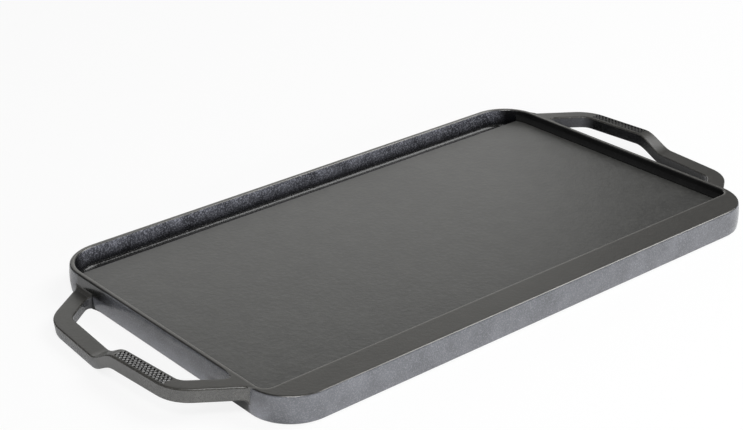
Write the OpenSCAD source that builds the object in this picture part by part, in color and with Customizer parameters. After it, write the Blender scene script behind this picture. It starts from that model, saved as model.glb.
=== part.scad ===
// Reversible cast-iron griddle plate for a two-burner camp stove.
// One face is a flat griddle, the other is ribbed for grilling. The plate lies flat face up.
// The origin is at the middle of the plate, on the plane that it rests on. X runs along the plate.
// The plate is a single casting. It is parted here into its walls, lands, deck, ribs and handles,
// which meet face to face.

/* [Plate] */
// Length of the plate, without its handles
plate_l = 423; // [360:1:500]
// Width of the plate, front to rear
plate_w = 254; // [210:1:300]
// Thickness of the plate, from rim to rim
plate_t = 19; // [17:0.5:26]
// Outside radius of the plate's corners, seen from above
corner_r = 31; // [24:1:45]
// Thickness of the rim walls
rim_w = 4.5; // [3.5:0.1:6.5]
// Rounding of the rim's edges
edge_r = 1.2; // [0.4:0.1:1.6]

/* [Griddle face] */
// Depth of the flat griddle deck below the rim
deck_depth = 7.2; // [5:0.1:8.5]
// Thickness of the deck, without its ribs
web_t = 4; // [3:0.1:5]
// Fillet between the deck and the side walls, on the flat face
deck_fillet_r = 4; // [1.5:0.1:4.8]

/* [Lands and gutters] */
// Width of the wide land along one long side of each face, with the rim
land_w = 23.5; // [18:0.5:30]
// Thickness of the land, which is the floor of the other face's grease gutter
land_t = 4.3; // [3:0.1:5]
// Thickness of the step wall between the deck and a gutter
step_t = 3.8; // [3:0.1:5]
// Rounding of the deck's lip over a gutter
lip_r = 2; // [0.5:0.1:2.5]
// Fillet along the foot of a gutter's walls
gutter_fillet_r = 2.5; // [1:0.1:3]

/* [Ribs] */
// Distance from one grill rib to the next
rib_pitch = 19.3; // [16:0.1:26]
// Width of a rib
rib_w = 4.4; // [3:0.1:7]
// How far the ribs stop below the rim of the ribbed face
rib_recess = 1.4; // [0.5:0.1:3]
// Rounding of a rib's top edges
rib_edge_r = 1.2; // [0.4:0.1:1.4]
// Fillet along the foot of a rib, and along the side walls of the ribbed face
rib_fillet_r = 1.7; // [0.5:0.1:2]
// Rounding of a rib's two ends, seen from the side
rib_end_r = 2.6; // [1:0.1:2.8]
// Distance from the deck's lip to the ribs' ends, on the gutter side
rib_gap_gutter = 5.3; // [3:0.1:12]
// Distance from the land to the ribs' ends, on the land side
rib_gap_land = 5.5; // [3:0.1:12]
// Least distance from a side wall to the first rib
rib_gap_side = 8; // [4:0.5:14]

/* [Handles] */
// How far a handle reaches beyond the end of the plate, at the middle of its grip
handle_reach = 42; // [34:0.5:55]
// Thickness of a handle, half of which lies flush with each rim
handle_t = 9; // [6:0.1:9.4]
// Width of the grip
grip_w = 11.7; // [8:0.1:14]
// How far the grip's ends fall back from its middle
grip_bow = 5; // [0:0.5:8]
// How far a handle's roots lie in from the ends of the plate's straight side
root_inset = 1.5; // [0:0.5:8]
// How far the outer corners of the grip lie in from the roots
shoulder_inset = 26; // [16:0.5:30]
// Width of an arm's root, along the plate's end
arm_root_w = 13; // [10:0.5:18]
// How far the finger opening's corners lie in from the grip's outer corners
opening_inset = 6.5; // [5:0.5:10]
// Length of each side of a handle's outer corner that its rounding takes up
shoulder_cut = 14; // [4:0.5:16]
// Length of each side of a finger opening's corner by the grip that its rounding takes up
opening_cut = 4.5; // [2:0.5:6]
// Length of each side of a finger opening's corner by the plate that the arm's fillet takes up
root_cut = 8.5; // [2:0.5:10]
// Distance from the finger opening's corner to the joint of the grip and arm
arm_overlap = 12; // [6:0.5:14]
// Length of the S-shaped step between a handle's high half and low half
step_l = 26; // [20:1:40]

/* [Hidden] */
$fn = 64;
iron = [0.28, 0.28, 0.28];
half_l = plate_l / 2;
half_w = plate_w / 2;
in_l = half_l - rim_w;
in_w = half_w - rim_w;
in_r = corner_r - rim_w;
deck_z = plate_t - deck_depth;
web_z = deck_z - web_t;
land_in = half_w - land_w;
lip_y = land_in + step_t;
// Ribs on each side of the middle one, as many as the plate's length holds
ribs_aside = floor((in_l - rib_gap_side - rib_w / 2) / rib_pitch);
rib_count = 2 * ribs_aside + 1;
// The side walls leave room above the deck's fillet for the rounding of the rim
deck_fillet = min(deck_fillet_r, deck_depth - edge_r);
rise = plate_t - handle_t;
// Half of the handle's length at its roots, at the grip's outer corners, at the finger opening's
// corners and at the joints of grip and arms
root_y = half_w - corner_r - root_inset;
shoulder_y = root_y - shoulder_inset;
opening_y = shoulder_y - opening_inset;
grip_end_y = opening_y - arm_overlap;
// Steps in a rounded corner of the handle's outline, and along the S of its grip
arc_steps = 8;
s_steps = 16;

rib_names = [for (i = [1:rib_count]) str("grill_rib_", i < 10 ? "0" : "", i)];

// A point of a quadratic blend from a to c, drawn towards b
function blend(a, b, c, t) = (1 - t) * (1 - t) * a + 2 * t * (1 - t) * b + t * t * c;

// The point at a distance from one point on the way to another
function toward(from, to, distance) = from + distance * (to - from) / norm(to - from);

// A closed outline with rounded corners: each is [x, y, cut], and its rounding takes up a length
// of cut on each of the two sides that meet there
function rounded(corners) = [
    for (i = [0:len(corners) - 1])
        let (
            n = len(corners),
            b = [corners[i][0], corners[i][1]],
            a = [corners[(i + n - 1) % n][0], corners[(i + n - 1) % n][1]],
            c = [corners[(i + 1) % n][0], corners[(i + 1) % n][1]],
            cut = corners[i][2],
            start = toward(b, a, cut),
            end = toward(b, c, cut)
        )
            for (k = [0:arc_steps])
                if (cut > 0 || k == 0)
                    blend(start, b, end, k / arc_steps)
];

// The concave corner between two walls that meet at the origin
module fillet(r) {
    difference() {
        square(r);
        translate([r, r])
            circle(r);
    }
}

// What is taken off a sharp corner at the origin, whose metal lies towards +X and +Y
module rounding(r) {
    difference() {
        translate([-r, -r])
            square(2 * r);
        translate([r, r])
            circle(r);
        translate([0, r])
            square(r);
        translate([r, 0])
            square(r);
    }
}

// Half turn about X that swaps the two faces
module turned_over() {
    translate([0, 0, plate_t])
        rotate([180, 0, 0])
            children();
}

// Extrudes a section in Y and Z along X
module along_x(length) {
    rotate([90, 0, 90])
        linear_extrude(length, center = true)
            children();
}

// Extrudes a section in X and Z along Y
module along_y(length) {
    rotate([90, 0, 0])
        linear_extrude(length, center = true)
            children();
}

// The space inside the rim walls
module inside() {
    linear_extrude(plate_t)
        union() {
            square([2 * (half_l - corner_r), 2 * in_w], center = true);
            square([2 * in_l, 2 * (half_w - corner_r)], center = true);
            for (x = [-1, 1], y = [-1, 1])
                translate([x * (half_l - corner_r), y * (half_w - corner_r)])
                    circle(in_r);
        }
}

// Section of a rim wall, inner face at x = 0, which a land may adjoin at its foot
module wall_section(land_at_foot) {
    difference() {
        square([rim_w, plate_t]);
        translate([rim_w, 0])
            mirror([1, 0])
                rounding(edge_r);
        translate([rim_w, plate_t])
            rotate(180)
                rounding(edge_r);
        translate([0, plate_t])
            mirror([0, 1])
                rounding(edge_r);
        if (!land_at_foot)
            rounding(edge_r);
    }
}

// Deck between the two steps, plain on both faces
module griddle_deck() {
    color(iron)
        intersection() {
            inside();
            translate([-half_l, -land_in, web_z])
                cube([plate_l, 2 * land_in, web_t]);
        }
}

// Wide land of the ribbed face, and floor of the gutter behind the deck
module rear_land() {
    color(iron)
        intersection() {
            inside();
            along_x(plate_l)
                difference() {
                    translate([land_in, 0])
                        square([land_w, land_t]);
                    translate([land_in, 0])
                        rounding(edge_r);
                }
        }
}

// Wide land of the flat face, and floor of the ribbed face's gutter
module front_land() {
    turned_over()
        rear_land();
}

// Wall between a gutter and the deck: face is the deck's height on the gutter's side
// and back its height on the other, both from the foot of the gutter's outer wall
module step_wall(face, back) {
    intersection() {
        inside();
        along_x(plate_l)
            union() {
                difference() {
                    translate([land_in, land_t])
                        square([step_t, face - land_t]);
                    translate([lip_y, face])
                        rotate(180)
                            rounding(lip_r);
                }
                translate([lip_y, land_t])
                    fillet(gutter_fillet_r);
                translate([land_in, back])
                    rotate(180)
                        fillet(rib_fillet_r);
            }
    }
}

module rear_step() {
    color(iron)
        step_wall(deck_z, web_z);
}

module front_step() {
    color(iron)
        turned_over()
            step_wall(plate_t - web_z, plate_t - deck_z);
}

// Outer wall of the gutter behind the deck
module rear_wall() {
    color(iron)
        along_x(2 * (half_l - corner_r))
            union() {
                translate([in_w, 0])
                    wall_section(true);
                translate([in_w, land_t])
                    mirror([1, 0])
                        fillet(gutter_fillet_r);
            }
}

module front_wall() {
    turned_over()
        rear_wall();
}

// Side wall at the right, with the deck's fillets on both faces
module right_wall() {
    color(iron)
        along_y(2 * (half_w - corner_r))
            union() {
                translate([in_l, 0])
                    wall_section(false);
                translate([in_l, deck_z])
                    mirror([1, 0])
                        fillet(deck_fillet);
                translate([in_l, web_z])
                    rotate(180)
                        fillet(rib_fillet_r);
            }
}

module left_wall() {
    mirror([1, 0, 0])
        right_wall();
}

// Corner of the rim beside the gutter behind the deck
module rear_right_corner() {
    color(iron)
        translate([half_l - corner_r, half_w - corner_r])
            rotate_extrude(angle = 90)
                translate([in_r, 0])
                    wall_section(true);
}

module rear_left_corner() {
    mirror([1, 0, 0])
        rear_right_corner();
}

module front_right_corner() {
    turned_over()
        rear_right_corner();
}

module front_left_corner() {
    turned_over()
        rear_left_corner();
}

// One rib under the deck, counted from the left
module grill_rib(i) {
    front_y = rib_gap_gutter - lip_y;
    rear_y = land_in - rib_gap_land;
    height = web_z - rib_recess;
    color(iron)
        translate([(i - ribs_aside - 1) * rib_pitch, 0, rib_recess])
            intersection() {
                along_y(plate_w)
                    union() {
                        translate([-rib_w / 2, 0])
                            difference() {
                                square([rib_w, height]);
                                rounding(rib_edge_r);
                                translate([rib_w, 0])
                                    mirror([1, 0])
                                        rounding(rib_edge_r);
                            }
                        for (side = [0, 1])
                            mirror([side, 0])
                                translate([rib_w / 2, height])
                                    mirror([0, 1])
                                        fillet(rib_fillet_r);
                    }
                along_x(rib_pitch)
                    difference() {
                        translate([front_y, 0])
                            square([rear_y - front_y, height]);
                        translate([front_y, 0])
                            rounding(rib_end_r);
                        translate([rear_y, 0])
                            mirror([1, 0])
                                rounding(rib_end_r);
                    }
            }
}

// Handle seen from above, reaching towards +X from the plate's end at x = 0
module handle_outline() {
    outer_x = handle_reach - grip_bow;
    inner_x = outer_x - grip_w;
    root_in = root_y - arm_root_w;
    difference() {
        polygon(rounded([
            [0, -root_y, 0],
            [outer_x, -shoulder_y, shoulder_cut],
            [handle_reach, 0, shoulder_cut],
            [outer_x, shoulder_y, shoulder_cut],
            [0, root_y, 0]
        ]));
        polygon(rounded([
            [0, -root_in, root_cut],
            [inner_x, -opening_y, opening_cut],
            [handle_reach - grip_w, 0, shoulder_cut],
            [inner_x, opening_y, opening_cut],
            [0, root_in, root_cut]
        ]));
    }
}

// A stretch of the right handle from y0 to y1, with its underside at z
module handle_stretch(z, y0, y1) {
    color(iron)
        translate([half_l, 0, z])
            linear_extrude(handle_t)
                intersection() {
                    handle_outline();
                    translate([0, y0])
                        square([handle_reach, y1 - y0]);
                }
}

// Half turn about Z, which makes the left handle of the right one
module at_left() {
    rotate([0, 0, 180])
        children();
}

module right_rear_arm() {
    handle_stretch(rise, grip_end_y, root_y);
}

module right_rear_grip() {
    handle_stretch(rise, step_l / 2, grip_end_y);
}

module right_front_grip() {
    handle_stretch(0, -grip_end_y, -step_l / 2);
}

module right_front_arm() {
    handle_stretch(0, -root_y, -grip_end_y);
}

// Smooth rise from 0 to 1
function ease(t) = t * t * (3 - 2 * t);

// Middle of the grip, which climbs from the low half to the high half in an S
module right_grip_step() {
    path = [for (k = [0:s_steps]) [(k / s_steps - 0.5) * step_l, rise * ease(k / s_steps)]];
    back = [for (k = [s_steps:-1:0]) [path[k][0], path[k][1] + handle_t]];
    color(iron)
        intersection() {
            translate([half_l, 0, 0])
                linear_extrude(plate_t)
                    handle_outline();
            translate([half_l + handle_reach / 2, 0, 0])
                along_x(handle_reach)
                    polygon(concat(path, back));
        }
}

module left_front_arm() {
    at_left()
        right_rear_arm();
}

module left_front_grip() {
    at_left()
        right_rear_grip();
}

module left_grip_step() {
    at_left()
        right_grip_step();
}

module left_rear_grip() {
    at_left()
        right_front_grip();
}

module left_rear_arm() {
    at_left()
        right_front_arm();
}

griddle_deck();
front_land();
rear_land();
front_step();
rear_step();
front_wall();
rear_wall();
left_wall();
right_wall();
front_left_corner();
front_right_corner();
rear_left_corner();
rear_right_corner();
left_front_arm();
left_front_grip();
left_grip_step();
left_rear_grip();
left_rear_arm();
right_front_arm();
right_front_grip();
right_grip_step();
right_rear_grip();
right_rear_arm();
for (i = [1:rib_count]) {
    grill_rib(i);
}
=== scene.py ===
# %% [markdown]
# # A reversible cast-iron griddle plate
#
# This lesson dresses a camp-stove plate that is cast in one piece: a flat griddle on one face, grill ribs
# on the other, a grease gutter along one side of each face and a loop handle at each end. The plate's
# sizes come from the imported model, which stays in place as a fixed frame. Blender adds what casting gives
# a real plate: rounded edges, fillets in every corner and a grainy, oil-seasoned skin.

# %% Load the frame
import math
import bmesh
import bpy
from mathutils import Matrix, Vector
from mathutils.kdtree import KDTree


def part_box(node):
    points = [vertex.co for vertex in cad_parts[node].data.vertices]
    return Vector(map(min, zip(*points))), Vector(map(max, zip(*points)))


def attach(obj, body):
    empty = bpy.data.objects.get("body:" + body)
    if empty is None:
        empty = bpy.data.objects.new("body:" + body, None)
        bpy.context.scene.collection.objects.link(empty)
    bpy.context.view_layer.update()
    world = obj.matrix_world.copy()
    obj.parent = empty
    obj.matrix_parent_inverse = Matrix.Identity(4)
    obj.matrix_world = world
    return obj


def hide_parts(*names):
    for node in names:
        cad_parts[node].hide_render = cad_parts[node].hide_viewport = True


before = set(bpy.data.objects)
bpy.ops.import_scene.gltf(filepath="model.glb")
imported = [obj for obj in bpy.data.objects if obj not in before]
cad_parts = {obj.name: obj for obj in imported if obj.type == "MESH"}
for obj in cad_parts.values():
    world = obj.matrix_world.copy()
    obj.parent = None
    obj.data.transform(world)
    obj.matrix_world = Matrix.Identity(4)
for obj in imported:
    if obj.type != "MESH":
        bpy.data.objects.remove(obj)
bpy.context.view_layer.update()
print("nodes in the frame:", len(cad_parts))

# %% [markdown]
# ## Read the sizes from the frame
#
# Every length below is measured on the frame's own nodes, so a plate of another size would be dressed the
# same way. Only small radii that no node's box shows are written here as numbers, in millimetres.

# %% Sizes of the plate
MM = 0.001
half_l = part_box("right_wall")[1].x
half_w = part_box("rear_wall")[1].y
plate_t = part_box("rear_wall")[1].z
deck_low, deck_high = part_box("griddle_deck")
in_l, deck_z, web_z = deck_high.x, deck_high.z, deck_low.z
rim_w = half_l - in_l
in_w = half_w - rim_w
corner_low, corner_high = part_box("rear_right_corner")
corner_r = corner_high.x - corner_low.x
land_low, land_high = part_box("rear_land")
land_in, land_t = land_low.y, land_high.z
edge_r = 1.2 * MM
deck_fillet_r = 4.0 * MM
grill_fillet_r = 1.7 * MM
gutter_fillet_r = 3.8 * MM
lip_r = 2.0 * MM
recess_corner_r = 7.0 * MM
step_foot_w = 2.5 * MM
lip_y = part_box("rear_step")[1].y - step_foot_w
print("plate:", round(2 * half_l, 4), "by", round(2 * half_w, 4), "by", round(plate_t, 4), "m")
print("deck at", round(deck_z, 4), "m, web from", round(web_z, 4), "m")

# %% [markdown]
# ## Set up the camera
#
# The camera stands low in front of the left end and has a long lens, which keeps the plate's edges nearly
# parallel. It is placed first, so that every later step can be judged in the final view.

# %% Camera
camera_place = Vector((-696.35, -790.77, 526.9)) * MM
camera_azimuth, camera_elevation, camera_roll = -39.76, 25.29, -0.75
lens_mm, sensor_mm = 82.47, 36.0
turn = Matrix.Rotation(math.radians(camera_azimuth), 4, "Z")
tilt = Matrix.Rotation(math.radians(90 - camera_elevation), 4, "X")
roll = Matrix.Rotation(math.radians(camera_roll), 4, "Z")
camera_data = bpy.data.cameras.new("camera")
camera_data.lens = lens_mm
camera_data.sensor_width = sensor_mm
camera = bpy.data.objects.new("camera", camera_data)
camera.matrix_world = Matrix.Translation(camera_place) @ turn @ tilt @ roll
bpy.context.scene.collection.objects.link(camera)
bpy.context.scene.camera = camera
print("camera at", camera.matrix_world.translation)

# %% [markdown]
# ## Hand tools
#
# Modelling by hand means selecting something and then running one operator on it. The first helpers are
# tests that pick an edge by its height, its direction or its sharpness, and a face by the way it looks. A
# place is picked within a hundredth of a millimetre, because sums of lengths are never quite exact.

# %% Tests for edges and faces
near = 0.01 * MM
facing = 0.9
sharp_angle = 1.0


def upright(edge):
    first, second = (v.co for v in edge.verts)
    return (first.xy - second.xy).length < near


def level(edge, z):
    return all(abs(v.co.z - z) < near for v in edge.verts)


def across(edge, y):
    return all(abs(v.co.y - y) < near for v in edge.verts)


def under(edge, z):
    return all(v.co.z < z + near for v in edge.verts)


def sharp(edge):
    return edge.calc_face_angle(0) > sharp_angle


def inner_corner(edge, z):
    """A level edge at a height where two faces meet in a hollow."""
    return level(edge, z) and sharp(edge) and not edge.is_convex


def looks_up(face):
    return face.normal.z > facing


def looks_down(face):
    return face.normal.z < -facing


def side_above(face, z):
    """A face above a height that is not a top."""
    return face.calc_center_median().z > z + near and not looks_up(face)


# %% [markdown]
# The other helpers run the operators. Everything is deselected before something is chosen, because an
# operator acts on all that is selected.

# %% Helpers for selecting and shaping
smooth_angle = math.radians(40)


def new_block(name, low, high):
    """A cube primitive that fills the box from low to high."""
    bpy.ops.object.select_all(action="DESELECT")
    low, high = Vector(low), Vector(high)
    bpy.ops.mesh.primitive_cube_add(size=1, location=(low + high) / 2, scale=high - low)
    bpy.ops.object.transform_apply(location=True, rotation=True, scale=True)
    block = bpy.context.object
    block.name = block.data.name = name
    return block


def choose(piece, kind, test):
    """Selects the piece's edges or faces that pass a test, in edit mode."""
    bpy.context.view_layer.objects.active = piece
    bpy.ops.object.mode_set(mode="EDIT")
    bpy.ops.mesh.select_mode(type=kind)
    bpy.ops.mesh.select_all(action="DESELECT")
    mesh = bmesh.from_edit_mesh(piece.data)
    for item in mesh.faces if kind == "FACE" else mesh.edges:
        if test(item):
            item.select_set(True)
    mesh.select_flush_mode()
    bmesh.update_edit_mesh(piece.data)


def round_chosen(radius, steps):
    bpy.ops.mesh.bevel(offset=radius, segments=steps, affect="EDGES", clamp_overlap=False)


def lengthen_chosen(z):
    bpy.ops.mesh.extrude_region_move(TRANSFORM_OT_translate={"value": (0, 0, z)})


def swell_chosen(width):
    bpy.ops.mesh.extrude_region_shrink_fatten(
        TRANSFORM_OT_shrink_fatten={"value": width, "use_even_offset": True}
    )


def select_only(piece):
    bpy.ops.object.mode_set(mode="OBJECT")
    bpy.ops.object.select_all(action="DESELECT")
    piece.select_set(True)
    bpy.context.view_layer.objects.active = piece


def finish_by_modifier(piece, kind, **settings):
    """Adds a modifier, sets it and applies it."""
    select_only(piece)
    modifier = piece.modifiers.new(kind.lower(), kind)
    for name, value in settings.items():
        setattr(modifier, name, value)
    bpy.ops.object.modifier_apply(modifier=modifier.name)


def cut_away(piece, tool):
    finish_by_modifier(piece, "BOOLEAN", object=tool, operation="DIFFERENCE", solver="EXACT")


def smooth(piece):
    """Shades round stretches smooth and keeps flat faces flat."""
    select_only(piece)
    bpy.ops.object.shade_smooth_by_angle(angle=smooth_angle)
    finish_by_modifier(piece, "WEIGHTED_NORMAL", keep_sharp=True)


def count_of(piece):
    return f"{piece.name}: {len(piece.data.vertices)} vertices, {len(piece.data.polygons)} faces"


# %% [markdown]
# ## The casting's outside
#
# A foundry presses a wooden pattern into sand, and the pattern has no sharp edge, because sand would
# crumble there. A flat curve with some thickness would give the same outline, but a block keeps its edges
# easy to pick. Its four upright edges are rounded to the plate's corners, and its wall is given a slight
# belly. Then the top and bottom outlines are rounded to the soft edge of the rim.

# %% Outside of the plate
corner_steps = 24
edge_steps = 5
wall_rows = 7
wall_belly = 0.8 * MM


def out_of_corner(place):
    """The level direction out of the plate, square to its outline, at a point of its outer wall."""
    reach_x = half_l - corner_r
    reach_y = half_w - corner_r
    inner = Vector((min(max(place.x, -reach_x), reach_x), min(max(place.y, -reach_y), reach_y)))
    return (place.xy - inner).normalized()


casting = new_block("plate_casting", (-half_l, -half_w, 0), (half_l, half_w, plate_t))
choose(casting, "EDGE", upright)
round_chosen(corner_r, corner_steps)
choose(casting, "EDGE", upright)
bpy.ops.mesh.subdivide(number_cuts=wall_rows)
bpy.ops.object.mode_set(mode="OBJECT")
for vertex in casting.data.vertices:
    from_middle = 2 * vertex.co.z / plate_t - 1
    vertex.co.xy -= out_of_corner(vertex.co) * wall_belly * from_middle ** 2
choose(casting, "EDGE", lambda edge: level(edge, 0) or level(edge, plate_t))
round_chosen(edge_r, edge_steps)
bpy.ops.object.mode_set(mode="OBJECT")
print(count_of(casting))

# %% [markdown]
# ## The hollow of one face
#
# Each face has a hollow: the deck, and a deeper gutter along the far side. In the mould, the hollow is a
# lump of sand, and here it is a core that a Boolean takes away. The core is a block with rounded corners.
# Its floor is cut at the deck's lip by a bisect, and the part beyond the lip is extruded down to the
# gutter's floor. A flange above the rim meets the core's wall in a corner, and rounding that corner gives
# the rim its soft inner edge.
#
# All the core's edges are rounded in one pass. A Bevel modifier reads a weight from each edge, so edges
# of several radii can share a corner, which one bevel after another could not do cleanly.

# %% Core of a hollow
fillet_steps = 6
recess_steps = corner_steps // 3
flange_t, flange_w = 6.0 * MM, 3.0 * MM
skim = 0.02 * MM
widest_fillet = deck_fillet_r


def before_lip(edge):
    return all(v.co.y < lip_y + near for v in edge.verts)


def weigh(core, radius, test):
    choose(core, "EDGE", test)
    bpy.ops.transform.edge_bevelweight(value=radius / widest_fillet)


def hollow_core(name, floor_z, foot_r):
    """The lump of sand that leaves one face's hollow, with its opening upwards."""
    rim_z = plate_t + skim
    core = new_block(name, (-in_l, -land_in, floor_z), (in_l, in_w, rim_z))
    choose(core, "EDGE", lambda edge: upright(edge) and not across(edge, -land_in))
    round_chosen(corner_r - rim_w, corner_steps)
    choose(core, "EDGE", lambda edge: upright(edge) and across(edge, -land_in))
    round_chosen(recess_corner_r, recess_steps)
    bpy.ops.mesh.select_all(action="SELECT")
    bpy.ops.mesh.bisect(plane_co=(0, lip_y, 0), plane_no=(0, 1, 0))
    choose(core, "FACE", lambda face: looks_down(face) and face.calc_center_median().y > lip_y)
    lengthen_chosen(land_t - floor_z)
    choose(core, "FACE", looks_up)
    lengthen_chosen(flange_t)
    choose(core, "FACE", lambda face: side_above(face, rim_z))
    swell_chosen(flange_w)
    weigh(core, foot_r, lambda edge: level(edge, floor_z) and before_lip(edge) and not across(edge, lip_y))
    weigh(core, lip_r, lambda edge: level(edge, floor_z) and across(edge, lip_y))
    weigh(core, gutter_fillet_r, lambda edge: level(edge, land_t))
    weigh(core, lip_r, lambda edge: upright(edge) and across(edge, lip_y) and under(edge, floor_z))
    weigh(core, edge_r, lambda edge: inner_corner(edge, rim_z))
    finish_by_modifier(core, "BEVEL", limit_method="WEIGHT", width=widest_fillet, segments=fillet_steps,
                       use_clamp_overlap=False)
    return core


griddle_core = hollow_core("griddle_core", deck_z, deck_fillet_r)
grill_core = hollow_core("grill_core", plate_t - web_z, grill_fillet_r)
print(count_of(griddle_core))
print(count_of(grill_core))

# %% [markdown]
# ## Cut both hollows
#
# The grill face is the griddle face turned over about the plate's length, which puts its gutter under the
# other long side. So the second core is turned half round about X, through the plate's middle, before it
# is taken away. A mirror would leave the two gutters one above the other.

# %% Turn the second core over and cut
select_only(grill_core)
bpy.ops.transform.rotate(value=math.pi, orient_axis="X", center_override=(0, 0, plate_t / 2))
bpy.ops.object.transform_apply(location=True, rotation=True, scale=True)
for core in (griddle_core, grill_core):
    cut_away(casting, core)
    bpy.data.objects.remove(core)
smooth(casting)
print(count_of(casting))

# %% [markdown]
# ## The grill ribs
#
# A rib is a long bar under the deck. Its two ends are rounded in the side view, its lower edges are soft,
# and a fillet runs all round its foot. The fillet comes from a thin flange, as on the cores: the flange
# lies just inside the deck, and the corner below it is rounded. One rib is modelled and copied to the
# place of each rib in the frame. The ribs could be made one mesh with the casting, but each one stands
# for its own node.

# %% One rib
rib_names = sorted(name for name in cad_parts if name.startswith("grill_rib_"))
rib_low, rib_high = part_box(rib_names[0])
rib_w = 4.4 * MM
rib_end_r, rib_edge_r = 2.6 * MM, 1.2 * MM
rib_foot_t = 0.6 * MM
rib_x = (rib_low.x + rib_high.x) / 2
rib_left, rib_right = rib_x - rib_w / 2, rib_x + rib_w / 2
foot_z = web_z + skim


def at_rib_end(edge):
    return across(edge, rib_low.y) or across(edge, rib_high.y)


rib = new_block("first_rib", (rib_left, rib_low.y, rib_low.z), (rib_right, rib_high.y, foot_z))
choose(rib, "EDGE", lambda edge: level(edge, rib_low.z) and at_rib_end(edge))
round_chosen(rib_end_r, fillet_steps)
choose(rib, "EDGE", lambda edge: sharp(edge) and not level(edge, foot_z))
round_chosen(rib_edge_r, edge_steps)
choose(rib, "FACE", looks_up)
lengthen_chosen(rib_foot_t)
choose(rib, "FACE", lambda face: side_above(face, foot_z))
swell_chosen(grill_fillet_r + near)
choose(rib, "EDGE", lambda edge: inner_corner(edge, foot_z))
round_chosen(grill_fillet_r, fillet_steps)
smooth(rib)
print(count_of(rib))

# %% Copies of the rib
ribs = []
for name in rib_names:
    low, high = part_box(name)
    copy = bpy.data.objects.new(name.replace("grill_rib", "rib"), rib.data.copy())
    copy.data.transform(Matrix.Translation(((low.x + high.x) / 2 - rib_x, 0, 0)))
    bpy.context.scene.collection.objects.link(copy)
    ribs.append(copy)
bpy.data.objects.remove(rib)
print("ribs:", len(ribs))

# %% [markdown]
# ## The loop handles
#
# Each handle is a flat bar: an arm leaves the end of the plate, turns at a shoulder into the grip and
# comes back as the second arm. Half of it is level with one rim and half with the other, so a hand finds
# room under it whichever face is up. The mould parts at half the plate's thickness, and the bar is a
# little wider there than at the rims, so that the pattern can be drawn out of the sand. This slope is
# called draft.

# %% Sizes of the handle
handle_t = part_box("right_front_arm")[1].z
handle_rise = plate_t - handle_t
step_low, step_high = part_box("right_grip_step")
step_l = step_high.y - step_low.y
root_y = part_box("right_rear_arm")[1].y
arm_run, opening_inset = 26.0 * MM, 6.5 * MM
shoulder_y = root_y - arm_run
opening_y = shoulder_y - opening_inset
grip_w, grip_bow, arm_root_w = 10.7 * MM, 5.0 * MM, 13.0 * MM
draft = 1.0 * MM
shoulder_cut, bow_cut, opening_cut, root_cut = 14.0 * MM, 14.0 * MM, 4.5 * MM, 8.5 * MM
toe = 2.4 * MM
bow_loss = bow_cut * grip_bow / math.hypot(grip_bow, shoulder_y) / 2
grip_x = step_high.x + bow_loss - draft
buried_x = half_l - wall_belly - edge_r
print("handle:", round(handle_t, 4), "m thick, grip at", round(grip_x, 4), "m")

# %% [markdown]
# The bar's outer and inner lines are chains of corners, the same on both halves. Each chain is needed
# twice: once as it is at the rim, and once as it is where the mould parts, a draft's width further out. A
# short leg at each end runs on inside the plate's wall, so that no gap shows at the root.

# %% Corners of the lines


def both_halves(corners):
    """Repeats the corners of the front half on the rear half, round the grip's middle, which comes last."""
    return corners + [(x, -y, cut) for x, y, cut in reversed(corners[:-1])]


def moved_out(corners, width):
    """The same chain with every side moved to its right by a width. Its two ends stay on the wall."""
    places = [Vector(corner[:2]) for corner in corners]
    normals = []
    for first, second in zip(places, places[1:]):
        along = (second - first).normalized()
        normals.append(Vector((along.y, -along.x)))
    moves = [Vector((0, width / normals[0].y))]
    for before, after in zip(normals, normals[1:]):
        moves.append((before + after) * width / (1 + before.dot(after)))
    moves.append(Vector((0, width / normals[-1].y)))
    return [(x + move.x, y + move.y, cut) for (x, y, cut), move in zip(corners, moves)]


def buried_ends(corners, leg):
    """Adds a short leg at both ends that lies inside the plate's wall."""
    front, rear = corners[0], corners[-1]
    return [(buried_x, front[1] - leg, 0), *corners, (buried_x, rear[1] + leg, 0)]


outer_corners = both_halves([
    (half_l, -root_y, toe),
    (grip_x - grip_bow, -shoulder_y, shoulder_cut),
    (grip_x, 0, bow_cut),
])
inner_corners = both_halves([
    (half_l, -root_y + arm_root_w, root_cut),
    (grip_x - grip_bow - grip_w, -opening_y, opening_cut),
    (grip_x - grip_w, 0, bow_cut),
])
print("corners:", len(outer_corners), "outside and", len(inner_corners), "inside")

# %% [markdown]
# The lines are drawn as Bezier curves and turned into edges. A rounded corner has two knots, and each
# knot's handle points at the corner, which makes a smooth bend between them. A polygon with bevelled
# corners would do too, but the curve gives all four lines the same number of points, and the next step
# pairs them up.

# %% Lines of the handle
line_steps = 16
handle_pull = 2 / 3


def drawn_line(name, corners):
    """A chain of edges through corners. Each corner is (x, y, cut): its rounding takes up a length of cut on
    both sides. The two ends have no cut."""
    knots = []
    for i, (x, y, cut) in enumerate(corners):
        here = Vector((x, y, 0))
        if cut == 0:
            knots.append((here, here, here))
            continue
        before = Vector((*corners[i - 1][:2], 0))
        after = Vector((*corners[i + 1][:2], 0))
        start = here + (before - here).normalized() * cut
        end = here + (after - here).normalized() * cut
        knots.append((start, start, start.lerp(here, handle_pull)))
        knots.append((end, end.lerp(here, handle_pull), end))
    bpy.ops.object.select_all(action="DESELECT")
    bpy.ops.curve.primitive_bezier_curve_add(location=(0, 0, 0))
    line = bpy.context.object
    line.name = name
    points = line.data.splines[0].bezier_points
    points.add(len(knots) - len(points))
    for point, (place, left, right) in zip(points, knots):
        point.handle_left_type = point.handle_right_type = "FREE"
        point.co, point.handle_left, point.handle_right = place, left, right
    line.data.resolution_u = line_steps
    bpy.ops.object.convert(target="MESH")
    return bpy.context.object


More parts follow.
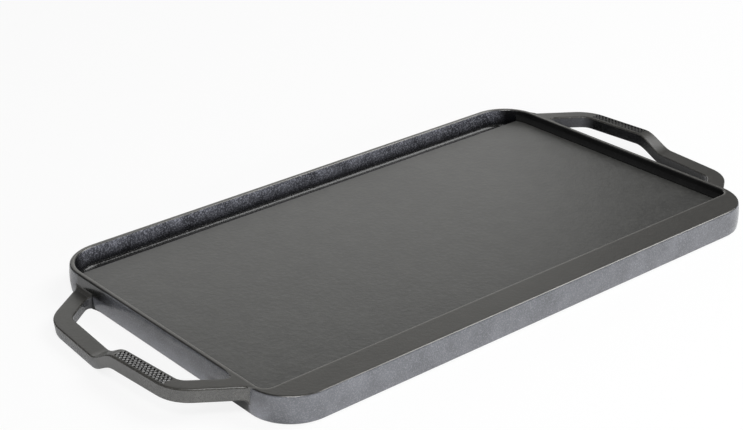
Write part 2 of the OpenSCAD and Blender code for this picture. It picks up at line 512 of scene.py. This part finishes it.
outer_leg, inner_leg = 2 * toe, -2 * root_cut
outer_line = drawn_line("outer_line", buried_ends(outer_corners, outer_leg))
inner_line = drawn_line("inner_line", buried_ends(inner_corners, inner_leg))
wide_outer_line = drawn_line("wide_outer_line", buried_ends(moved_out(outer_corners, draft), outer_leg))
wide_inner_line = drawn_line("wide_inner_line", buried_ends(moved_out(inner_corners, -draft), inner_leg))
print(count_of(outer_line))
print(count_of(inner_line))

# %% [markdown]
# Bridging the two lines gives the bar's face, which is extruded to the bar's thickness. The two wide
# lines only lend their places: a search tree finds, for each point of the bar, where the same point of
# the wide bar is.

# %% Bridge and extrude the bar
bridge_rows = 3
shares = [row / (bridge_rows + 1) for row in range(bridge_rows + 2)]


def spread(first, second):
    """All points of the face between two lines, row by row."""
    pairs = list(zip(first.data.vertices, second.data.vertices))
    return [a.co.lerp(b.co, share) for share in shares for a, b in pairs]


narrow_points = spread(outer_line, inner_line)
wide_points = spread(wide_outer_line, wide_inner_line)
finder = KDTree(len(narrow_points))
for i, place in enumerate(narrow_points):
    finder.insert(place, i)
finder.balance()
bpy.data.objects.remove(wide_outer_line)
bpy.data.objects.remove(wide_inner_line)

bpy.ops.object.select_all(action="DESELECT")
outer_line.select_set(True)
inner_line.select_set(True)
bpy.context.view_layer.objects.active = outer_line
bpy.ops.object.join()
right_handle = outer_line
right_handle.name = right_handle.data.name = "right_handle"
bpy.ops.object.mode_set(mode="EDIT")
bpy.ops.mesh.select_all(action="SELECT")
bpy.ops.mesh.bridge_edge_loops(number_cuts=bridge_rows, interpolation="LINEAR")
bpy.ops.mesh.select_all(action="SELECT")
lengthen_chosen(handle_t)
bpy.ops.mesh.select_all(action="SELECT")
bpy.ops.mesh.normals_make_consistent(inside=False)
bpy.ops.object.mode_set(mode="OBJECT")
print(count_of(right_handle))

# %% [markdown]
# Now each point of the mesh is moved to its height and width. On the high half, the lower points take the
# wide line's place, and on the low half the upper ones do. In between, everything changes over smoothly,
# which makes the S in the grip. A small fillet at each root, where the bar meets the wall, is made by the
# same moves. A bar swept along a curve would be simpler, but it keeps one section all the way.

# %% Shape the bar
handle_edge_r = 1.1 * MM
root_fillet_r = 3.0 * MM


def ease(t):
    """0 up to 0 and 1 from 1 on, with a smooth change in between."""
    t = min(max(t, 0), 1)
    return t * t * (3 - 2 * t)


def outside_wall(edge):
    return min(v.co.x for v in edge.verts) > half_l + near


for vertex in right_handle.data.vertices:
    place = vertex.co
    is_top = place.z > handle_t / 2
    high_share = ease(place.y / step_l + 0.5)
    wide_share = 1 - high_share if is_top else high_share
    wide_place = wide_points[finder.find((place.x, place.y, 0))[1]]
    place.xy = place.xy.lerp(wide_place.xy, wide_share)
    root_x = place.x - half_l
    if root_x < root_fillet_r and wide_share > 0.5:
        slack = min(root_fillet_r - root_x, root_fillet_r)
        swelling = root_fillet_r - math.sqrt(root_fillet_r ** 2 - slack ** 2)
        place.z += swelling if is_top else -swelling
    place.z += handle_rise * high_share
choose(right_handle, "EDGE", lambda edge: sharp(edge) and outside_wall(edge))
round_chosen(handle_edge_r, edge_steps)
bpy.ops.object.mode_set(mode="OBJECT")
print(count_of(right_handle))

# %% [markdown]
# ## The knurl
#
# Where a handle is level with a rim, its flat carries a cast-in pattern. Here it is a plain diamond
# knurl, as on a tool's grip. Bump in the finish would be quicker, but the exported mesh would lose it.
# One groove is a bar turned on its edge, which cuts a V. An Array modifier lays out a row of them, the
# row is trimmed to the pattern's field, and a Boolean sinks it into the handle. A second row slants the
# other way. It is a hair smaller and shallower, because a Boolean makes stray slivers where two cuts end
# in one plane. Both rows are then turned over, as the second core was, and cut the pattern of the other
# face.

# %% Knurl on the grip
knurl_y = (11.5 * MM, 59.0 * MM)
knurl_w = 7.6 * MM
knurl_step = 3.2 * MM
groove_depth = 0.65 * MM
groove_half = 1.1 * MM
groove_slant = math.radians(38)
grip_lean = math.atan2(grip_bow, shoulder_y)
knurl_middle = (knurl_y[0] + knurl_y[1]) / 2
knurl_l = knurl_y[1] - knurl_y[0]
row_trim = 0.06 * MM
knurl_place = Vector((grip_x - grip_w / 2 - knurl_middle * math.tan(grip_lean), knurl_middle, plate_t))
to_middle = Matrix.Translation((0, 0, plate_t / 2))
turned_over = to_middle @ Matrix.Rotation(math.pi, 4, "X") @ to_middle.inverted()


def groove_row(slant, trim):
    """Bars on edge, side by side, each of which cuts one V groove, trimmed to the pattern's field."""
    bar = groove_half / math.sqrt(2)
    row = new_block("groove_row", (-knurl_w, -bar, -bar), (knurl_w, bar, bar))
    lift = Matrix.Translation((0, 0, groove_half - groove_depth + trim))
    row.data.transform(Matrix.Rotation(slant, 4, "Z") @ lift @ Matrix.Rotation(math.pi / 4, 4, "X"))
    count = 2 * round((knurl_l + 2 * knurl_w) / knurl_step / 2) + 1
    row.data.transform(Matrix.Translation((0, -knurl_step * (count - 1) / 2, 0)))
    finish_by_modifier(row, "ARRAY", count=count, use_relative_offset=False, use_constant_offset=True,
                       constant_offset_displace=(0, knurl_step, 0))
    field_corner = Vector((knurl_w / 2 - trim, knurl_l / 2 - trim, plate_t))
    field = new_block("field", -field_corner, field_corner)
    finish_by_modifier(row, "BOOLEAN", object=field, operation="INTERSECT", solver="EXACT")
    bpy.data.objects.remove(field)
    row.data.transform(Matrix.Translation(knurl_place) @ Matrix.Rotation(grip_lean, 4, "Z"))
    return row


for slant, trim in ((groove_slant, 0), (-groove_slant, row_trim)):
    row = groove_row(slant, trim)
    cut_away(right_handle, row)
    row.data.transform(turned_over)
    cut_away(right_handle, row)
    bpy.data.objects.remove(row)
smooth(right_handle)
print(count_of(right_handle))

# %% [markdown]
# ## The second handle
#
# The left handle is the right one turned half round about Z. A mirror would put its high half on the
# wrong side. It gets its own mesh, and its place goes into the mesh.

# %% Copy the handle to the left end
left_handle = bpy.data.objects.new("left_handle", right_handle.data.copy())
left_handle.data.name = "left_handle"
left_handle.data.transform(Matrix.Rotation(math.pi, 4, "Z"))
bpy.context.scene.collection.objects.link(left_handle)
print(count_of(left_handle))

# %% [markdown]
# ## Shader arithmetic
#
# A finish is easiest to read as a formula. `Value` wraps one output of a node, so that `1 - mask * 0.3`
# adds the Math nodes by itself. Every other node comes from `Recipe.add`, which takes the node's type,
# its settings and what goes into its sockets.

# %% Values and recipes


class Value:
    """One output of a node, which can be used in arithmetic."""

    def __init__(self, recipe, socket):
        self.recipe, self.socket = recipe, socket

    def _math(self, operation, first, second):
        return self.recipe.add("ShaderNodeMath", {"operation": operation}, {0: first, 1: second})

    def __add__(self, other):
        return self._math("ADD", self, other)

    def __sub__(self, other):
        return self._math("SUBTRACT", self, other)

    def __rsub__(self, other):
        return self._math("SUBTRACT", other, self)

    def __mul__(self, other):
        return self._math("MULTIPLY", self, other)

    __radd__ = __add__
    __rmul__ = __mul__


class Recipe:
    """The node tree of one finish."""

    def __init__(self, tree):
        self.tree = tree
        self.tree.nodes.clear()

    def add(self, kind, settings=None, sockets=None, output=0):
        node = self.tree.nodes.new(kind)
        for name, value in (settings or {}).items():
            setattr(node, name, value)
        for key, value in (sockets or {}).items():
            if isinstance(value, Value):
                self.tree.links.new(value.socket, node.inputs[key])
            else:
                node.inputs[key].default_value = value
        return Value(self, node.outputs[output]) if node.outputs else node


# %% [markdown]
# ## Masks for wear, oil and painted light and shade
#
# Use leaves its marks at certain places, and some of the masks paint light and shade. A rim's top is lighter
# along its inner side, from wear and as a painted highlight of its rounded edge. A gutter's wall is lighter
# at its top, with painted shade at its foot and in its corners, and painted shadow lies on the end walls
# beside the roots of the handles. The feet of the end walls are paler, as painted light from the floor. The
# low sides of the handles are paler towards the foot, and the inner sides of their arms stay greyer, because
# no hand rubs them. Each mask is a number from 0 to 1 that is worked out from a point's place on the plate.
# It could be painted as an image too, but a formula needs no file and fits a plate of any size.

# %% Helpers for masks


def coordinate(recipe, place, axis):
    return recipe.add("ShaderNodeSeparateXYZ", None, {"Vector": place}, output=axis)


def changed(recipe, operation, first, second=0.0):
    return recipe.add("ShaderNodeMath", {"operation": operation}, {0: first, 1: second})


def from_middle_of(recipe, place, axis):
    return changed(recipe, "ABSOLUTE", coordinate(recipe, place, axis))


def ramp(recipe, value, start, end):
    """0 up to the start, 1 from the end on and a straight slope in between. The end may come first."""
    sockets = {"Value": value, "From Min": start, "From Max": end}
    return recipe.add("ShaderNodeMapRange", {"clamp": True}, sockets)


# %% Masks of the plate


def rim_wear_and_highlight(recipe, place):
    """1 on the top of a rim beside its hollow, falling to 0 within a millimetre. It stands for wear and is
    also a painted highlight of the rim's rounded inner edge.
    """
    x, y, z = (coordinate(recipe, place, axis) for axis in "XYZ")
    y = y * changed(recipe, "SIGN", z - plate_t / 2)
    at_gutter = changed(recipe, "GREATER_THAN", y)
    radius = at_gutter * (corner_r - rim_w - recess_corner_r) + recess_corner_r
    side_x = changed(recipe, "ABSOLUTE", x) + radius - in_l
    side_y = changed(recipe, "ABSOLUTE", y - (in_w - land_in) / 2) + radius - (in_w + land_in) / 2
    past_x = changed(recipe, "MAXIMUM", side_x)
    past_y = changed(recipe, "MAXIMUM", side_y)
    from_hollow = changed(recipe, "SQRT", past_x * past_x + past_y * past_y) - radius
    return ramp(recipe, from_hollow, start=2.2 * MM, end=1.4 * MM)


def straight_share(recipe, place):
    """1 along a gutter's straight wall, falling to 0 in its corners."""
    return ramp(recipe, from_middle_of(recipe, place, "X"), start=in_l - 8 * MM, end=in_l - 17 * MM)


def gutter_painted_light(recipe, place):
    """Painted light and shade: 1 at the top of a gutter's straight wall, falling to 0 as painted shade at
    its foot, at the deck and in the corners.
    """
    y, z = (coordinate(recipe, place, axis) for axis in "YZ")
    outward = ramp(recipe, changed(recipe, "ABSOLUTE", y), start=lip_y, end=in_w - 2 * MM)
    height = (z - plate_t / 2) * changed(recipe, "SIGN", y)
    upward = ramp(recipe, height, start=-3 * MM, end=8 * MM)
    return straight_share(recipe, place) * outward * upward


def end_wall(recipe, place):
    """1 on the outer wall of an end, 0 along the straight long sides."""
    return ramp(recipe, from_middle_of(recipe, place, "X"), start=half_l - 4 * MM, end=half_l - 1 * MM)


def end_foot_painted_light(recipe, place):
    """Painted light from the floor: 1 at the foot of an end's wall, falling to 0 towards its top and towards
    the corners.
    """
    z = coordinate(recipe, place, "Z")
    return end_wall(recipe, place) * ramp(recipe, z, start=14 * MM, end=3 * MM)


def root_painted_shadow(recipe, place):
    """Painted shadow, at full strength on an end's wall beside a handle's root, over a low arm and under a
    high one.
    """
    strength = 1.5
    x, y, z = (coordinate(recipe, place, axis) for axis in "XYZ")
    from_middle = changed(recipe, "ABSOLUTE", y)
    before_root = ramp(recipe, from_middle, start=root_y + 1 * MM, end=root_y - 1.5 * MM)
    past_opening = ramp(recipe, from_middle, start=root_y - 46 * MM, end=root_y - 24 * MM)
    from_arm = (plate_t / 2 - z) * changed(recipe, "SIGN", x * y)
    beside_arm = ramp(recipe, from_arm, start=-1 * MM, end=1.5 * MM)
    return end_wall(recipe, place) * before_root * past_opening * beside_arm * strength


plate_masks = [rim_wear_and_highlight, straight_share, gutter_painted_light, end_wall, end_foot_painted_light, root_painted_shadow]
print("masks of the plate:", [mask.__name__ for mask in plate_masks])

# %% Masks of the handles


def low_share(recipe, place):
    """1 at the plate's foot, falling to 0 at half its height."""
    return ramp(recipe, coordinate(recipe, place, "Z"), start=8 * MM, end=2 * MM)


def arm_share(recipe, place):
    """1 on the inner sides of a handle's arms, falling to 0 towards the grip."""
    past_wall = ramp(recipe, from_middle_of(recipe, place, "X"), start=half_l, end=half_l + 1 * MM)
    out_of_grip = ramp(recipe, from_middle_of(recipe, place, "Y"),
                       start=opening_y - 8 * MM, end=opening_y + 2 * MM)
    return past_wall * out_of_grip


handle_masks = [low_share, arm_share]
print("masks of the handles:", [mask.__name__ for mask in handle_masks])

# %% [markdown]
# ## The seasoned iron
#
# Oil that is baked onto iron leaves a hard, dark film, and much of what the eye sees is the sheen on it.
# So the colours stay low. Fine specks, soft clouds and a slow drift of the film change both the colour
# and the sheen, and the grain that sand leaves goes into the bump. The noise is laid askew to the plate,
# because noise that is parallel to a flat wall shows rings. Photographs of iron could be wrapped round
# the plate instead, but noise in space has no seams.

# %% Recipe of seasoned iron
noise_turn = (0.6, 0.4, 0.9)
wave_size, film_size = 14 * MM, 60 * MM
grain_sharpness, wave_detail, film_detail = 0.6, 2.0, 4.0
speck_range, cloud_range = (0.48, 0.74), (0.30, 0.70)
speck_part, cloud_part, film_part = 0.6, 0.25, 0.15
layer_least, layer_change = 0.6, 0.5


def mixed(recipe, share, first, second):
    """The first colour where the share is 0, and the second where it is 1."""
    sockets = {"Factor": share, 6: first, 7: second}
    return recipe.add("ShaderNodeMix", {"data_type": "RGBA"}, sockets, output=2)


def noise(recipe, place, size, **sockets):
    sockets = {"Vector": place, "Scale": 1 / size, **sockets}
    return recipe.add("ShaderNodeTexNoise", {"noise_dimensions": "3D"}, sockets)


def seasoned_iron(name, dark, light, roughness, ior, grain_size, grain_detail, grain_depth, wave_depth,
                  metallic=0.0, painted_light_where=None, grain_where=None, layers=()):
    """Oil-seasoned iron. Colours are linear, and sizes are in metres. The light specks can be kept to where
    a mask says, as painted light and shade, the grain to where another mask says, and each layer is a mask
    and a colour that lies over the ones before."""
    material = bpy.data.materials.new(name)
    material.use_nodes = True
    recipe = Recipe(material.node_tree)
    place = recipe.add("ShaderNodeTexCoord", output="Object")
    askew = recipe.add("ShaderNodeMapping", None, {"Vector": place, "Rotation": noise_turn})
    grain = noise(recipe, askew, grain_size, Detail=grain_detail, Roughness=grain_sharpness)
    wave = noise(recipe, askew, wave_size, Detail=wave_detail)
    film = noise(recipe, askew, film_size, Detail=film_detail)
    speck = ramp(recipe, grain, *speck_range)
    cloud = ramp(recipe, wave, *cloud_range)
    tone = speck * speck_part + cloud * cloud_part + film * film_part
    if painted_light_where:
        tone = tone * painted_light_where(recipe, place)
    colour = mixed(recipe, tone, (*dark, 1), (*light, 1))
    for mask, layer_colour in layers:
        share = mask(recipe, place) * (tone * layer_change + layer_least)
        colour = mixed(recipe, share, colour, (*layer_colour, 1))
    rough_low, rough_high = roughness
    sheen = film * 0.5 + speck * 0.5
    rough = sheen * (rough_high - rough_low) + rough_low
    grain_height = grain * grain_depth
    if grain_where:
        grain_height = grain_height * grain_where(recipe, place)
    height = grain_height + wave * wave_depth
    normal = recipe.add("ShaderNodeBump", None, {"Height": height, "Strength": 1.0, "Distance": 1.0})
    surface = recipe.add("ShaderNodeBsdfPrincipled", None,
                         {"Base Color": colour, "Roughness": rough, "IOR": ior, "Metallic": metallic,
                          "Normal": normal})
    recipe.add("ShaderNodeOutputMaterial", None, {"Surface": surface})
    return material


# %% [markdown]
# Eight finishes come from the one recipe. The deck and the lands were smoothed. The handles' bars and the
# outer skin are as the sand left them, greyer and speckled. The gutters and the grooves between the ribs
# are black with oil. Edges that hands and other pans rub against are worn brighter, and the rim's edges
# show bare iron, the only finish that mirrors as metal does.

# %% Finishes of the plate
griddle_finish = seasoned_iron(
    "griddle_finish",
    dark=(0.036, 0.036, 0.034), light=(0.069, 0.069, 0.065), roughness=(0.30, 0.42), ior=1.5,
    grain_size=3.2 * MM, grain_detail=3.0, grain_depth=0.14 * MM, wave_depth=0.06 * MM)
land_finish = seasoned_iron(
    "land_finish",
    dark=(0.034, 0.033, 0.030), light=(0.052, 0.050, 0.045), roughness=(0.32, 0.45), ior=1.5,
    grain_size=2.4 * MM, grain_detail=3.0, grain_depth=0.10 * MM, wave_depth=0.06 * MM,
    # The lighter layer along the rim's inner side is wear and also a painted highlight of its rounded edge.
    layers=[(rim_wear_and_highlight, (0.13, 0.126, 0.118))])
skin_finish = seasoned_iron(
    "skin_finish",
    dark=(0.066, 0.068, 0.076), light=(0.220, 0.225, 0.248), roughness=(0.17, 0.27), ior=1.8,
    grain_size=0.9 * MM, grain_detail=2.0, grain_depth=0.05 * MM, wave_depth=0.12 * MM,
    # The near-black layer beside the handles' roots is painted shadow.
    # The pale layer at the end walls' feet is painted light from the floor.
    layers=[(end_foot_painted_light, (0.30, 0.305, 0.34)), (root_painted_shadow, (0.005, 0.005, 0.005))])
hollow_finish = seasoned_iron(
    "hollow_finish",
    dark=(0.004, 0.004, 0.005), light=(0.400, 0.407, 0.465), roughness=(0.24, 0.34), ior=1.7,
    grain_size=1.2 * MM, grain_detail=1.0, grain_depth=0.32 * MM, wave_depth=0.14 * MM,
    # The gutter's wall is painted lighter at its top, with painted shade at its foot and in its corners.
    painted_light_where=gutter_painted_light, grain_where=straight_share)
edge_finish = seasoned_iron(
    "edge_finish",
    dark=(0.095, 0.094, 0.091), light=(0.17, 0.167, 0.162), roughness=(0.26, 0.36), ior=1.5,
    grain_size=1.6 * MM, grain_detail=1.0, grain_depth=0.01 * MM, wave_depth=0.05 * MM, metallic=1.0)
print("deck:", griddle_finish.name, "with", len(griddle_finish.node_tree.nodes), "nodes")

# %% Finishes of the handles and grooves
bar_finish = seasoned_iron(
    "bar_finish",
    dark=(0.032, 0.031, 0.028), light=(0.080, 0.077, 0.070), roughness=(0.24, 0.38), ior=2.0,
    grain_size=2.2 * MM, grain_detail=3.0, grain_depth=0.12 * MM, wave_depth=0.10 * MM,
    layers=[(low_share, (0.13, 0.132, 0.145))])
groove_finish = seasoned_iron(
    "groove_finish",
    dark=(0.003, 0.003, 0.003), light=(0.012, 0.012, 0.012), roughness=(0.12, 0.22), ior=1.42,
    grain_size=1.3 * MM, grain_detail=2.0, grain_depth=0.14 * MM, wave_depth=0.08 * MM,
    layers=[(arm_share, (0.095, 0.095, 0.10))])
worn_finish = seasoned_iron(
    "worn_finish",
    dark=(0.034, 0.033, 0.030), light=(0.080, 0.077, 0.070), roughness=(0.22, 0.34), ior=1.5,
    grain_size=2.0 * MM, grain_detail=3.0, grain_depth=0.06 * MM, wave_depth=0.05 * MM)
finishes = [griddle_finish, land_finish, bar_finish, skin_finish, hollow_finish, groove_finish, worn_finish,
            edge_finish]
print("finishes:", [finish.name for finish in finishes])

# %% [markdown]
# ## Give each face its finish
#
# A face that looks up from the deck's height is the griddle, and one at a rim's height is a land. Beside
# a land, the faces of the rounded rim are its bare edge. The other faces of the casting are the skin
# outside, the speckled wall of a gutter or the black oil of all that lies inside. Faces could be picked
# by hand, but a rule by height and slope picks them again after every change. `lift` is how much a face
# looks up or down: 1 for a level face and 0 for a wall.

# %% Finishes on the casting
GRIDDLE, LAND, BAR, SKIN, HOLLOW, GROOVE, WORN, EDGE = range(8)
deck_lift, land_lift, edge_lift, wall_lift = 0.99, 0.97, 0.6, 0.6


def depth_in_plate(place):
    """How far a point lies inside the plate's outline, seen from above."""
    over_x = abs(place.x) - (half_l - corner_r)
    over_y = abs(place.y) - (half_w - corner_r)
    outside = math.hypot(max(over_x, 0), max(over_y, 0)) + min(max(over_x, over_y), 0)
    return corner_r - outside


def plate_finish(face):
    height, lift = face.center.z, abs(face.normal.z)
    if lift > deck_lift and abs(height - deck_z) < near:
        return GRIDDLE
    if height > plate_t - edge_r or height < edge_r:
        if lift > land_lift:
            return LAND
        if lift > edge_lift:
            return EDGE
    if depth_in_plate(face.center) < rim_w / 2:
        return SKIN
    at_gutter_wall = abs(face.center.y) > lip_y + near and lift < wall_lift
    return HOLLOW if at_gutter_wall else GROOVE


for piece in (casting, right_handle, left_handle, *ribs):
    piece.data.materials.clear()
    for finish in finishes:
        piece.data.materials.append(finish)
for face in casting.data.polygons:
    face.material_index = plate_finish(face)
print("griddle faces:", sum(face.material_index == GRIDDLE for face in casting.data.polygons))

# %% [markdown]
# On a handle, the knurl's lands are as smooth as its flats, and its grooves are black. The rounded edges
# are worn, the sides that look into the opening are oily, and the other sides are the bare bar. A rib has
# a land along its lower face and oil on its flanks.

# %% Finishes on the handles and ribs
finger_room = grip_x - grip_w - half_l
worn_lift, worn_turn, flat_lift = 0.25, 0.3, 0.7


def in_knurl(place):
    """Whether a point of a handle lies in the knurl of one of its two faces."""
    field_x = knurl_place.x - (abs(place.y) - knurl_middle) * math.tan(grip_lean)
    in_field = knurl_y[0] < abs(place.y) < knurl_y[1] and abs(abs(place.x) - field_x) < knurl_w / 2
    return in_field and min(place.z, plate_t - place.z) < groove_depth + near


def handle_finish(face):
    place, lift = face.center, abs(face.normal.z)
    if in_knurl(place):
        return LAND if lift > land_lift else GROOVE
    in_step = abs(place.y) < step_l / 2
    turned = abs(face.normal.x) if in_step else face.normal.xy.length
    if lift > worn_lift and turned > worn_turn:
        return WORN
    if lift > flat_lift:
        return LAND
    from_opening = Vector((math.copysign(half_l + finger_room / 2, place.x), 0))
    towards_opening = face.normal.xy.dot(place.xy - from_opening) < 0
    return GROOVE if towards_opening else BAR


for handle in (right_handle, left_handle):
    for face in handle.data.polygons:
        face.material_index = handle_finish(face)
for piece in ribs:
    for face in piece.data.polygons:
        face.material_index = LAND if face.normal.z < -flat_lift else GROOVE
print("worn faces of a handle:", sum(face.material_index == WORN for face in right_handle.data.polygons))

# %% [markdown]
# ## Hand the pieces to the frame
#
# Each piece stands for the nodes that it covers and rides on the plate's one body. Nothing moves on a
# plate that is cast in one, so one body is enough.

# %% Ride and replace
side_nodes = ["front_arm", "front_grip", "grip_step", "rear_grip", "rear_arm"]
handle_nodes = {side: [f"{side}_{part}" for part in side_nodes] for side in ("left", "right")}
plate_nodes = [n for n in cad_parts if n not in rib_names + handle_nodes["left"] + handle_nodes["right"]]
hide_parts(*plate_nodes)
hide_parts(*handle_nodes["left"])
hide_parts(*handle_nodes["right"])
for piece, name in zip(ribs, rib_names):
    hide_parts(name)
for piece in (casting, left_handle, right_handle, *ribs):
    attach(piece, "root")
print("nodes that the casting stands for:", len(plate_nodes))

# %% [markdown]
# ## Floor and background
#
# The plate lies on a plain white floor. A floor that only lamps light turns grey towards its far end, so
# rays that reach the camera see mostly an even white glow. The rest of its finish is plain paper, which
# keeps the plate's shadow. What the iron mirrors shows a little of the glow too.

# %% Floor
white = (1, 1, 1, 1)
paper_colour = (0.92, 0.92, 0.92, 1)
paper_roughness = 0.9
floor_size = 30.0
floor_gap = 0.05 * MM


def background_share(recipe, to_eye, mirrored):
    """How much of the plain background a ray sees: one to the eye, one off iron or one through glass."""
    kinds = ("Is Camera Ray", "Is Glossy Ray", "Is Transmission Ray")
    eye, iron, glass = (recipe.add("ShaderNodeLightPath", output=kind) for kind in kinds)
    return eye * to_eye + iron * mirrored + glass * to_eye


bpy.ops.object.select_all(action="DESELECT")
bpy.ops.mesh.primitive_plane_add(size=floor_size, location=(0, 0, -floor_gap))
floor = bpy.context.object
floor.name = "floor"
floor_finish = bpy.data.materials.new("floor_finish")
floor_finish.use_nodes = True
recipe = Recipe(floor_finish.node_tree)
paper_look = {"Base Color": paper_colour, "Roughness": paper_roughness}
paper = recipe.add("ShaderNodeBsdfPrincipled", None, paper_look)
glow = recipe.add("ShaderNodeEmission", None, {"Color": white, "Strength": 1.0})
share = background_share(recipe, to_eye=0.85, mirrored=0.15)
blend = recipe.add("ShaderNodeMixShader", None, {0: share, 1: paper, 2: glow})
recipe.add("ShaderNodeOutputMaterial", None, {"Surface": blend})
floor.data.materials.append(floor_finish)
print("floor:", floor_size, "m wide")

# %% [markdown]
# ## Surround
#
# Dark iron shows its form by what it mirrors, so the surround is dim and leaves that to the lamps. Only
# the camera sees it as pale as the floor. A photograph of a room could light the plate as well, but the
# room would show on the deck.

# %% Surround
dim_strength, pale_strength = 0.12, 0.88
world = bpy.data.worlds.new("surround")
bpy.context.scene.world = world
world.use_nodes = True
recipe = Recipe(world.node_tree)
dim = recipe.add("ShaderNodeBackground", None, {"Color": white, "Strength": dim_strength})
pale = recipe.add("ShaderNodeBackground", None, {"Color": white, "Strength": pale_strength})
share = background_share(recipe, to_eye=1.0, mirrored=0.05)
blend = recipe.add("ShaderNodeMixShader", None, {0: share, 1: dim, 2: pale})
recipe.add("ShaderNodeOutputWorld", None, {"Surface": blend})
print("surround:", dim_strength, "for the iron and", pale_strength, "for the camera")

# %% [markdown]
# ## Lamps
#
# The lamps are large and soft. A low lamp in front lights the near wall. One on the right and one above
# on the left give the plain light in which a colour looks as it is written, and one behind draws a sheen
# over the deck. The front lamp is left out of mirror images, because from behind it would be a white bar
# on the deck.

# %% Lamps
cool, neutral, warm = (0.96, 0.98, 1.0), (1.0, 1.0, 1.0), (1.0, 1.0, 0.98)


def soft_lamp(name, place, size, radiance, colour):
    """A rectangular lamp that points at the plate's middle. Its size is (width, height), and a radiance of 1
    looks white."""
    lamp = bpy.data.lights.new(name, "AREA")
    lamp.shape = "RECTANGLE"
    lamp.size, lamp.size_y = size
    lamp.energy = radiance * math.pi * size[0] * size[1]
    lamp.color = colour
    holder = bpy.data.objects.new(name, lamp)
    holder.location = place
    holder.rotation_euler = (-Vector(place)).to_track_quat("-Z", "Y").to_euler()
    holder.visible_camera = False
    bpy.context.scene.collection.objects.link(holder)
    return holder


key_lamp = soft_lamp("key_lamp", place=(-0.3, -1.4, 0.25), size=(1.2, 0.45), radiance=8.0, colour=cool)
side_lamp = soft_lamp("side_lamp", place=(1.2, -0.45, 1.4), size=(1.0, 1.0), radiance=6.0, colour=neutral)
back_lamp = soft_lamp("back_lamp", place=(0.78, 1.56, 0.58), size=(1.6, 1.0), radiance=1.1, colour=warm)
top_lamp = soft_lamp("top_lamp", place=(-0.7, -0.9, 2.0), size=(0.8, 0.8), radiance=11.5, colour=neutral)
key_lamp.visible_glossy = False
for lamp in (key_lamp, side_lamp, back_lamp, top_lamp):
    print(lamp.name, round(lamp.data.energy, 2), "W")

# %% [markdown]
# ## View settings
#
# The Standard view shows each colour as it is, with no film look over it.

# %% View settings
bpy.context.scene.view_settings.view_transform = "Standard"
print("view:", bpy.context.scene.view_settings.view_transform)
